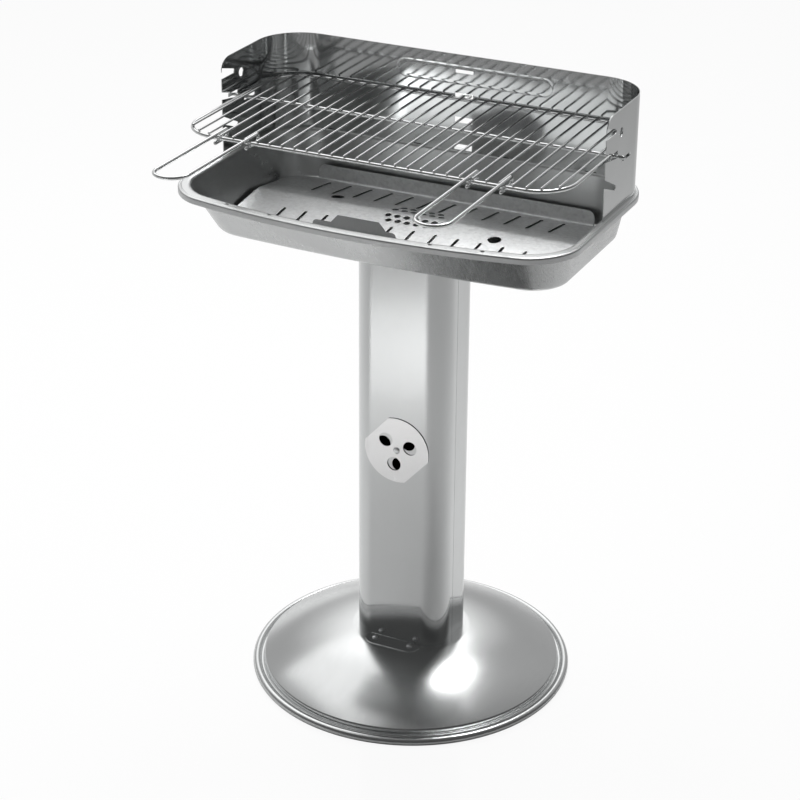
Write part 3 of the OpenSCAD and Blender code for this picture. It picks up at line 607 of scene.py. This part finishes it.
class BuildPan(GrillOperator):
    """Pressed fire pan: floor, walls, flange with four small holes and a rolled lip"""
    bl_idname = "grill.build_pan"
    bl_label = "Fire pan"

    def execute(self, context):
        """P(s, t) runs from the floor up the wall, over the flange and down the lip, at each outline point t."""
        sizes = context.scene.grill_sizes
        roll, mouth_r = sizes.rim_round / MM, sizes.mouth_round / MM
        # Half width, front, bow, rear, front and rear corner radius
        floor_line = (245, 119, 10, 128, 46, 46)
        mouth_line = (265, 157, 35, 132.5, 48, 72)
        rim_line = (277.5, 173, 35, 150, 56, 84)
        foot_r, lip_drop = 10, 8

        def ring(line, d, z):
            """An outline moved outwards by d, at a level."""
            hw, front, bow, rear, front_r, rear_r = line
            return with_z(pan_outline(hw + d, front + d, bow, rear + d, front_r + d, rear_r + d), z)

        patches, floors, mouths, rims, lips = [], [], [], [], []
        for drop, inward in ((0.0, 1), (SHEET, -1)):
            out = 0 if inward > 0 else SHEET
            floor = ring(floor_line, out - foot_r - 2, PAN_Z + SHEET - drop)
            corner = ring(floor_line, out - 1, PAN_Z + SHEET - drop)
            mouth = ring(mouth_line, out, RIM_Z - drop)
            rim = ring(rim_line, -drop, RIM_Z - drop)
            low = ring(rim_line, -drop, RIM_Z - lip_drop)
            foot = rounding(floor, corner, mouth, foot_r, 12)
            neck = rounding(corner, mouth, rim, mouth_r, 10)
            edge = rounding(mouth, rim, low, roll, 10)
            if inward > 0:
                t = np.radians(np.linspace(138, 0, 14))
                dip = [(-5.2, 0), (-4.8, -0.15), (-4.4, -0.45)]
                rolled = dip + [*zip(roll * (np.cos(t) - 1), roll * (np.sin(t) - 1))]
                edge = np.stack([ring(rim_line, d, RIM_Z + z) for d, z in rolled])
            wall = foot[-1] + np.linspace(0, 1, 10)[1:-1, None, None] * (neck[0] - foot[-1])
            bowl = grid_patch(np.concatenate([foot, wall, neck]), side=inward, loop_v=True)
            # The outer side of the walls takes the pan's painted shade
            patches += [bowl] if inward > 0 else second([bowl])
            lip = edge[-1] + np.linspace(0, 1, 4)[1:, None, None] * (low - edge[-1])
            patches.append(grid_patch(np.concatenate([edge, lip]), side=inward, loop_v=True))
            floors.append([foot[0][:, :2]])
            mouths.append(neck[-1][:, :2])
            rims.append(edge[0][:, :2])
            lips.append(low)
        lips = np.stack(lips)
        patches.append(grid_patch(lips, loop_v=True, normals=np.broadcast_to([0.0, 0, -1], lips.shape).copy()))
        hw, front, bow = rim_line[:3]
        hole_inset, vent_r, vent_ring_r = 10, 8, 19
        rim_holes = [circle(share * hw, hole_inset - front - bow * (1 - share ** 2), SCREW_HOLE_R, 24)
                     for share in (-0.635, -0.398, 0.398, 0.635)]
        rim_holes += [circle(x, SHIELD_SCREWS_Y, SCREW_HOLE_R, 20) for x in SHIELD_SCREWS_X]
        vents = [circle(0, 0, vent_r)]
        vents += [circle(vent_ring_r * cos(a), vent_ring_r * sin(a), vent_r) for a in np.arange(6) * pi / 3]
        for level in (0, 1):
            flange = [rims[level], mouths[level]]
            for edges, holes, z in ((flange, rim_holes, RIM_Z), (floors[level], vents, PAN_Z + SHEET)):
                upper, under, walls = plate_patches(edges + holes, flat_plate(z), SHEET, open_loops=edges)
                if level == 0:
                    patches += [upper, walls]
                else:
                    # The floor's under side takes the painted shade as well
                    patches += [under] if edges is flange else second([under])
        make_piece("fire_pan_shell", patches, ["pan", "pan_outside"], "stand", ["fire_pan"])
        return {"FINISHED"}


def long_hole(x, y0, y1, r):
    """A slot along Y with round ends."""
    return np.vstack([arc(x, y1, r, 0, 180, 10), arc(x, y0, r, 180, 180, 10)])


class BuildTray(GrillOperator):
    """Coal tray: a low roof with slots and holes, a rear flange and a front grip"""
    bl_idname = "grill.build_tray"
    bl_label = "Coal tray"

    def execute(self, context):
        """P(x, y) = (x, y, z(y)), where z falls evenly on both sides of a ridge that is rounded by a parabola."""
        low, rise, ridge, front, rear, hw, corner_r = 656.6, 15.0, 12.0, 113.0, 120.0, 240.5, 42.0
        soft = context.scene.grill_sizes.ridge_round / MM
        slope_f, slope_r = rise / (front + ridge), rise / (rear - ridge)

        def place(uv):
            y = uv[:, 1] - ridge
            mean, half = (slope_f - slope_r) / 2, (slope_f + slope_r) / 2
            bent = np.abs(y) < soft
            z = np.where(bent, mean * y - half * (y * y + soft * soft) / (2 * soft), mean * y - half * np.abs(y))
            dz = np.where(bent, mean - half * y / soft, mean - half * np.sign(y))
            n = np.column_stack([np.zeros(len(y)), -dz, np.ones(len(y))])
            return np.column_stack([uv, low + SHEET + rise + z]), unit(n)

        loops = [np.vstack(corner_arcs(hw, front, rear, corner_r, corner_r))]
        slots, slot_pitch, slots_x, slot_r = 12, 31.5, -4, 2.1
        for i in range(slots):
            x = slots_x + slot_pitch * (i - (slots - 1) / 2)
            loops += [long_hole(x, 48, 100, slot_r), long_hole(x, -78, -30, slot_r)]
        hole_pitch, holes_x, hole_r = 13.4, -6.5, 4.4
        for side in (-1, 1):
            for y, places in ((ridge + side * 11, np.arange(-2.5, 3)), (ridge + side * 24, range(-2, 3))):
                loops += [circle(holes_x + hole_pitch * i, y, hole_r, 28) for i in places]
        loops += [circle(x, y, 9) for x, y in ((-132, 35), (119, -14))]
        lines = [np.array([[-hw, ridge + k * soft / 4], [hw, ridge + k * soft / 4]]) for k in range(-4, 5)]
        *faces, edge = plate_patches(loops, place, SHEET, lines)
        # The tray's edge walls take the grip's painted shade
        patches = faces + second([edge])

        flange_hw, flange_h, flange_r, bend_r = 204, 21.5, 10, 3.0
        flange = np.vstack([[[-flange_hw, low]], [[flange_hw, low]],
                            arc(flange_hw - flange_r, low + flange_h - flange_r, flange_r, 0, 90),
                            arc(flange_r - flange_hw, low + flange_h - flange_r, flange_r, 90, 90)])
        patches += plate_patches([flange], upright_plate(rear - SHEET), SHEET)
        t = np.linspace(0, pi / 2, 7)
        bend = np.stack(np.broadcast_arrays(
            [[1.0 - flange_hw], [flange_hw - 1.0]], rear - SHEET - bend_r + bend_r * np.sin(t),
            low + SHEET + bend_r + 0.4 - bend_r * np.cos(t)), -1)
        patches.append(grid_patch(bend))

        grip_x, grip_hw, grip_r = -34, 59, 6
        grip = np.vstack([[[-grip_hw, 0]], [[grip_hw, 0]], arc(grip_hw - grip_r, 32.5, grip_r, 0, 90, 8),
                          [[45, 38.5], [35, 49.5], [-23, 49.5], [-33, 38.5]],
                          arc(grip_r - grip_hw, 32.5, grip_r, 90, 90, 8)]) + [grip_x, low]
        # The grip is the tray's sheet, shown in painted shade
        patches += second(plate_patches([grip], upright_plate(-110 - SHEET), SHEET))
        make_piece("coal_tray_sheet", patches, ["tray", "grip"], "tray", ["coal_tray"])
        return {"FINISHED"}


class BuildShield(GrillOperator):
    """Wind shield: a U of mirror-polished sheet with notches, slots and an oval bead"""
    bl_idname = "grill.build_shield"
    bl_label = "Wind shield"

    def execute(self, context):
        """P(u, z) = bent line(u) + h N, where h is a smooth hump of the distance to the oval bead's line."""
        hw, rear, r, front, top_r = 270.4, SHIELD_REAR, 62.0, 28.0, 18
        stretches, length, lines = u_bend(front + rear - r, r, 2 * (hw - r), 32, RIM_Z, SHIELD_TOP)
        middle = length / 2
        bead_h, bead_w = context.scene.grill_sizes.bead_height / MM, 3.0
        bead_at, bead_hw, bead_r = np.array([middle + 20, RIM_Z + 105]), 100.0, 11.0

        def place(uv):
            points, normals = bent_line(uv[:, 0], (-hw, -front), pi / 2, stretches)
            from_line = uv - bead_at
            from_line[:, 0] = np.sign(from_line[:, 0]) * np.maximum(np.abs(from_line[:, 0]) - bead_hw, 0)
            reach = np.maximum(np.linalg.norm(from_line, axis=1), 1e-9)
            d = reach - bead_r
            on = np.abs(d) < bead_w
            h = np.where(on, bead_h * (1 + np.cos(pi * d / bead_w)) / 2, 0)
            dh = np.where(on, -bead_h * pi / bead_w * np.sin(pi * d / bead_w) / 2, 0)
            grad = from_line / reach[:, None] * dh[:, None]
            flat_n = with_z(normals, 0)
            n = flat_n - grad[:, :1] * np.cross(flat_n, [0, 0, 1]) - grad[:, 1:] * [0, 0, 1]
            return np.column_stack([points, uv[:, 1]]) + h[:, None] * flat_n, unit(n)

        # Places y from the column's axis and heights over the rim; each notch ends in a half round
        notches = np.vstack([
            [[-front, 44], [8, 30]], arc(8, 33.75, 3.75, -90, 180), [[-front, 55], [-front, 78], [10, 71.2]],
            arc(10, 74, 2.8, -90, 180), [[10, 76.8], [-front, 88], [-front, 106], [2, 106]],
            arc(2, 109.25, 3.25, -90, 180), [[-front, 121]]]) + [front, RIM_Z]
        left = np.vstack([[[0, RIM_Z]], notches, arc(top_r, SHIELD_TOP - top_r, top_r, 180, -90)])
        right = left[::-1] * [-1, 1] + [length, 0]
        loops = [np.vstack([left, right])]

        def slot(u0, u1, z, height):
            """A slot whose middle is at z over the rim."""
            return rectangle(u0, u1, RIM_Z + z - height / 2, RIM_Z + z + height / 2)

        for mirrored in (False, True):
            along = (lambda y: length - (y + front)) if mirrored else (lambda y: y + front)
            loops.append(circle(along(23), RIM_Z + 102, 6, 32))
            for y0, y1, z in ((-11, 13, 79), (30, 59, 63)):
                loops.append(slot(*sorted((along(y0), along(y1))), z, 4.5))
        loops += [slot(middle - 7, middle + 19, z, height) for z, height in ((110, 5), (43, 8), (5, 8), (75.7, 9))]
        for d in np.linspace(-bead_w, bead_w, 9):
            oval = np.vstack([arc(bead_hw, 0, bead_r + d, -90, 180, 24), arc(-bead_hw, 0, bead_r + d, 90, 180, 24)])
            lines.append(np.vstack([oval, oval[:1]]) + bead_at)
        patches = plate_patches(loops, place, SHEET, lines)
        tab_hw, tab_end = 8, SHIELD_SCREWS_Y + 5
        for x in SHIELD_SCREWS_X:
            tab = rectangle(x - tab_hw, x + tab_hw, rear - SHEET, tab_end)
            hole = circle(x, SHIELD_SCREWS_Y, SCREW_HOLE_R, 20)
            patches += plate_patches([tab, hole], flat_plate(RIM_Z + SHEET), SHEET)
        make_piece("wind_shield_sheet", patches, ["shield"], "stand", ["wind_shield"])
        return {"FINISHED"}


class BuildGrid(GrillOperator):
    """Cooking grid: a loop of wire, thirty bars, the cross wire with its two pegs and the rear hook"""
    bl_idname = "grill.build_grid"
    bl_label = "Cooking grid"

    def execute(self, context):
        """Wires carried along a loop of four sides and four quarter rounds, and along straight lines."""
        hw, front, rear, front_r, rear_r = 262.5, 153.0, 129.0, 50.0, 62.0
        front_round, rear_round = (front_r * pi / 2, pi / 2), (rear_r * pi / 2, pi / 2)
        side = (front + rear - front_r - rear_r, 0)
        stretches = [(2 * (hw - front_r), 0), front_round, side, rear_round,
                     (2 * (hw - rear_r), 0), rear_round, side, front_round]
        marks = np.cumsum([0] + [s for s, _ in stretches])
        u = np.unique(np.concatenate([a + (b - a) * np.linspace(0, 1, 25 if turn else 3)
                                      for a, b, (_, turn) in zip(marks, marks[1:], stretches)]))[:-1]
        points, normals = bent_line(u, (front_r - hw, -front), 0.0, stretches)
        inward = with_z(normals, 0)
        loop = tube_patches(with_z(points, GRID_Z), np.cross(inward, [0, 0, 1]), -inward, WIRE_R, 20, closed=True)
        make_piece("grid_loop_wire", loop, ["wire"], "grid", ["grid_frame"])

        bars, bar_r, over = 30, 1.6, 1.5
        z = GRID_Z + WIRE_R + bar_r + WELD_GAP
        fall = lambda x, start, r: r - sqrt(r * r - (x - start) ** 2) if x > start else 0.0
        patches = []
        for i in range(bars):
            x = BAR_PITCH * (i - (bars - 1) / 2)
            y0 = -front - over + fall(abs(x), hw - front_r, front_r)
            y1 = rear + over - fall(abs(x), hw - rear_r, rear_r)
            patches += straight_wire([x, y0 + bar_r, z], [x, y1 - bar_r, z], bar_r, [1, 0, 0])
        make_piece("grid_bar_wires", patches, ["wire"], "grid", ["grid_bars"])

        cross_y, patches = 10, []
        for x0, x1 in ((-257.4, 257.4), (-262.6, -279.4), (262.6, 279.4)):
            patches += straight_wire([x0, cross_y, GRID_Z], [x1, cross_y, GRID_Z], WIRE_R, [0, 1, 0])
        make_piece("grid_cross_wires", patches, ["wire"], "grid", ["grid_cross_wire"])

        t = np.linspace(0, pi, 21)
        bow_r, y0 = 6, rear + WIRE_R + WELD_GAP
        y1 = SHIELD_REAR + 12 - bow_r
        bow = with_z(np.stack([bow_r + bow_r * np.cos(t), y1 + bow_r * np.sin(t)], -1), GRID_Z)
        path = np.vstack([[[2 * bow_r, y0, GRID_Z]], bow, [[0, y0, GRID_Z]]])
        tangents = np.vstack([[[0, 1, 0]], np.stack([-np.sin(t), np.cos(t), 0 * t], -1), [[0, -1, 0]]])
        hook = tube_patches(path, tangents, np.cross(tangents, [0, 0, 1]), 2.0)
        make_piece("grid_hook_wire", hook, ["wire"], "grid", ["grid_hook"])
        return {"FINISHED"}


class BuildHandles(GrillOperator):
    """Two handles: a wire U whose legs lie on the front wire and are hooked back under it"""
    bl_idname = "grill.build_handles"
    bl_label = "Handles"

    def execute(self, context):
        """One wire: under limb, half turn up, leg, half turn at the tip, and the same back."""
        r, leg = 2.4, 22.3
        z = GRID_Z + WIRE_R + SEAT + r
        low = 2 * GRID_Z - z
        bend_r = (z - low) / 2
        hook_y, end_y, tip_y = -132.0, -159.0, leg - 322.0
        t = np.linspace(-pi / 2, pi / 2, 17)
        zero = 0 * t
        up_path = np.stack([zero - leg, hook_y + bend_r * np.cos(t), GRID_Z + bend_r * np.sin(t)], -1)
        up_tan = np.stack([zero, -np.sin(t), np.cos(t)], -1)
        a = np.linspace(pi, 2 * pi, 49)
        tip_path = np.stack([leg * np.cos(a), tip_y + leg * np.sin(a), 0 * a + z], -1)
        tip_tan = np.stack([-np.sin(a), np.cos(a), 0 * a], -1)
        flip, back = np.array([-1, 1, 1]), np.array([1, -1, -1])
        path = np.vstack([[[-leg, end_y, low]], up_path, tip_path, up_path[::-1] * flip, [[leg, end_y, low]]])
        tangents = np.vstack([[[0, 1, 0]], up_tan, tip_tan, up_tan[::-1] * back, [[0, -1, 0]]])
        limb = np.tile([1.0, 0, 0], (len(t) + 1, 1))
        sides = np.vstack([-limb, np.cross(tip_tan, [0, 0, 1]), limb])
        for side, x in (("left", -10.5 * BAR_PITCH), ("right", 9.5 * BAR_PITCH)):
            make_piece(f"{side}_handle_wire", tube_patches(path + [x, 0, 0], tangents, sides, r, 20), ["wire"],
                       f"{side}_handle", [f"handle_{side}"])
        return {"FINISHED"}


class DressFasteners(GrillOperator):
    """Finishes of the screws, nuts, rivet and cap plate, whose solids are shown as they are"""
    bl_idname = "grill.dress_fasteners"
    bl_label = "Fasteners and cap plate"

    def execute(self, context):
        for node in ("cap_plate", "foot_screws", "foot_nuts", "pan_screws", "pan_nuts", "shield_screws",
                     "shield_nuts", "damper_washer", "damper_rivet"):
            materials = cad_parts[node].data.materials
            materials.clear()
            materials.append(finish("pan" if node == "cap_plate" else "screw"))
        return {"FINISHED"}


# ---- stage

def soft_lamp(name, place, target, size, power, in_gloss=True):
    """A square area lamp that looks at a point. Without in_gloss, reflections leave it out."""
    data = bpy.data.lights.new(name, "AREA")
    data.shape = "SQUARE"
    data.size = size
    data.energy = power
    lamp = bpy.data.objects.new(name, data)
    bpy.context.scene.collection.objects.link(lamp)
    lamp.location = place
    lamp.rotation_euler = (Vector(target) - Vector(place)).to_track_quat("-Z", "Y").to_euler()
    lamp.visible_glossy = in_gloss
    return lamp


def split_for_camera(tree, lit, seen, share, out):
    """Puts out the lit shader, over which the camera sees another by a share."""
    path = tree.nodes.new("ShaderNodeLightPath")
    part = new_node(tree, "ShaderNodeMath", {1: share}, operation="MULTIPLY")
    mix = tree.nodes.new("ShaderNodeMixShader")
    join(tree, (path, "Is Camera Ray", part, 0), (part, 0, mix, 0), (lit, 0, mix, 1), (seen, 0, mix, 2),
         (mix, 0, out, "Surface"))


def stage_floor(half=20):
    """A pale level square that the camera sees almost white, with the grill's shadow left on it."""
    material = bpy.data.materials.new("stage_floor")
    material.use_nodes = True
    tree = material.node_tree
    tree.nodes.remove(tree.nodes["Principled BSDF"])
    matt = new_node(tree, "ShaderNodeBsdfPrincipled", Base_Color=(0.72, 0.72, 0.72, 1), Roughness=0.08)
    white = new_node(tree, "ShaderNodeEmission", Color=(1, 1, 1, 1), Strength=1.0)
    split_for_camera(tree, matt, white, 0.93, tree.nodes["Material Output"])
    mesh = bpy.data.meshes.new("floor")
    mesh.from_pydata([(-half, -half, 0), (half, -half, 0), (half, half, 0), (-half, half, 0)], [], [(0, 1, 2, 3)])
    mesh.materials.append(material)
    plane = bpy.data.objects.new("floor", mesh)
    bpy.context.scene.collection.objects.link(plane)


def studio_world():
    """White to the camera; to the grill, greys by the angle to a window, and a glow low on the left."""
    world = bpy.data.worlds.new("studio")
    world.use_nodes = True
    tree = world.node_tree
    tree.nodes.remove(tree.nodes["Background"])
    seen = new_node(tree, "ShaderNodeBackground", Color=(1, 1, 1, 1), Strength=1.0)
    room = tree.nodes.new("ShaderNodeBackground")
    coords = tree.nodes.new("ShaderNodeTexCoord")
    toward = new_node(tree, "ShaderNodeVectorMath", {1: (-0.40, 0.74, 0.54)}, operation="DOT_PRODUCT")
    lift = new_node(tree, "ShaderNodeMapRange", From_Min=-1.0)
    ramp = tree.nodes.new("ShaderNodeValToRGB")
    stops = ((0.0, 0.05), (0.38, 0.13), (0.55, 0.12), (0.69, 0.24), (0.80, 0.42), (0.90, 0.60), (0.955, 0.56),
             (0.98, 1.0), (1.0, 1.65))
    elements = ramp.color_ramp.elements
    elements[0].position, elements[1].position = stops[0][0], stops[-1][0]
    for at, _ in stops[1:-1]:
        elements.new(at)
    for element, (_, value) in zip(elements, stops):
        element.color = (value, value, value, 1)
    split = tree.nodes.new("ShaderNodeSeparateXYZ")
    low = new_node(tree, "ShaderNodeMapRange", interpolation_type="SMOOTHSTEP", From_Min=0.20, From_Max=0.0)
    left = new_node(tree, "ShaderNodeMapRange", interpolation_type="SMOOTHSTEP", From_Min=-0.3, From_Max=-0.6)
    glow = new_node(tree, "ShaderNodeMath", operation="MULTIPLY")
    total = new_node(tree, "ShaderNodeMath", {1: 0.8}, operation="MULTIPLY_ADD")
    join(tree, (coords, "Generated", toward, 0), (toward, "Value", lift, "Value"), (lift, "Result", ramp, "Fac"),
         (coords, "Generated", split, "Vector"), (split, "Z", low, "Value"), (split, "X", left, "Value"),
         (low, "Result", glow, 0), (left, "Result", glow, 1), (glow, "Value", total, 0), (ramp, "Color", total, 2),
         (total, "Value", room, "Strength"))
    split_for_camera(tree, room, seen, 1.0, tree.nodes["World Output"])
    return world


def photo_camera():
    """A camera round and over the target, rolled a little, with its frame moved sideways."""
    around, over, roll, distance = radians(25.24), radians(25.64), radians(-0.6), 3.0733
    target = Vector((0, AXIS_Y * MM, 0.4104))
    data = bpy.data.cameras.new("camera")
    data.sensor_width = 36
    data.lens = 101.97
    data.shift_x = -0.0168
    data.clip_end = 60
    camera = bpy.data.objects.new("camera", data)
    bpy.context.scene.collection.objects.link(camera)
    back = Vector((sin(around) * cos(over), -cos(around) * cos(over), sin(over)))
    right = Vector((cos(around), sin(around), 0))
    up = back.cross(right)
    right, up = right * cos(roll) - up * sin(roll), right * sin(roll) + up * cos(roll)
    turn = Matrix((right, up, back)).transposed().to_4x4()
    camera.matrix_world = Matrix.Translation(target + back * distance) @ turn
    return camera


class BuildStage(GrillOperator):
    """Pale floor, studio with a bright window side, soft lamps and the camera"""
    bl_idname = "grill.build_stage"
    bl_label = "Stage"

    def execute(self, context):
        scene = context.scene
        scene.view_settings.view_transform = "Standard"
        stage_floor()
        scene.world = studio_world()
        pool = soft_lamp("floor_lamp", (-0.42, -1.1, 1.5), (-0.42, -1.06, 0), 0.3, 1.0, in_gloss=False)
        pool.data.spread = radians(34)
        soft_lamp("fill_lamp", (-1.0, 0.6, 2.8), (-0.1, -0.3, 0), 2.0, 60, in_gloss=False)
        soft_lamp("top_lamp", (-0.9, 1.0, 2.8), (0, 0, 0.6), 3.0, 24)
        soft_lamp("glint_lamp", (-0.15, 1.5, 2.75), (0.1, 0, 0), 0.7, 19)
        scene.camera = photo_camera()
        return {"FINISHED"}


# ---- panel and run

OPERATORS = (BuildFoot, BuildColumn, BuildDamper, BuildPan, BuildTray, BuildShield, BuildGrid, BuildHandles,
             DressFasteners, BuildStage)


class GrillPanel(bpy.types.Panel):
    """Lists the grill's pieces, sizes and colours"""
    bl_idname = "VIEW3D_PT_grill"
    bl_label = "Charcoal grill"
    bl_space_type = "VIEW_3D"
    bl_region_type = "UI"
    bl_category = "Grill"

    def draw(self, context):
        for settings in (context.scene.grill_sizes, context.scene.grill_finish):
            box = self.layout.box()
            for key in settings.__annotations__:
                box.prop(settings, key)
        for operator in OPERATORS:
            self.layout.operator(operator.bl_idname)


CLASSES = (GrillSizes, GrillFinish, *OPERATORS, GrillPanel)


def register():
    for cls in CLASSES:
        bpy.utils.register_class(cls)
    bpy.types.Scene.grill_sizes = PointerProperty(type=GrillSizes)
    bpy.types.Scene.grill_finish = PointerProperty(type=GrillFinish)


def unregister():
    del bpy.types.Scene.grill_finish
    del bpy.types.Scene.grill_sizes
    for cls in reversed(CLASSES):
        bpy.utils.unregister_class(cls)


def main():
    register()
    for operator in OPERATORS:
        group, name = operator.bl_idname.split(".")
        getattr(getattr(bpy.ops, group), name)()


if __name__ == "__main__":
    main()
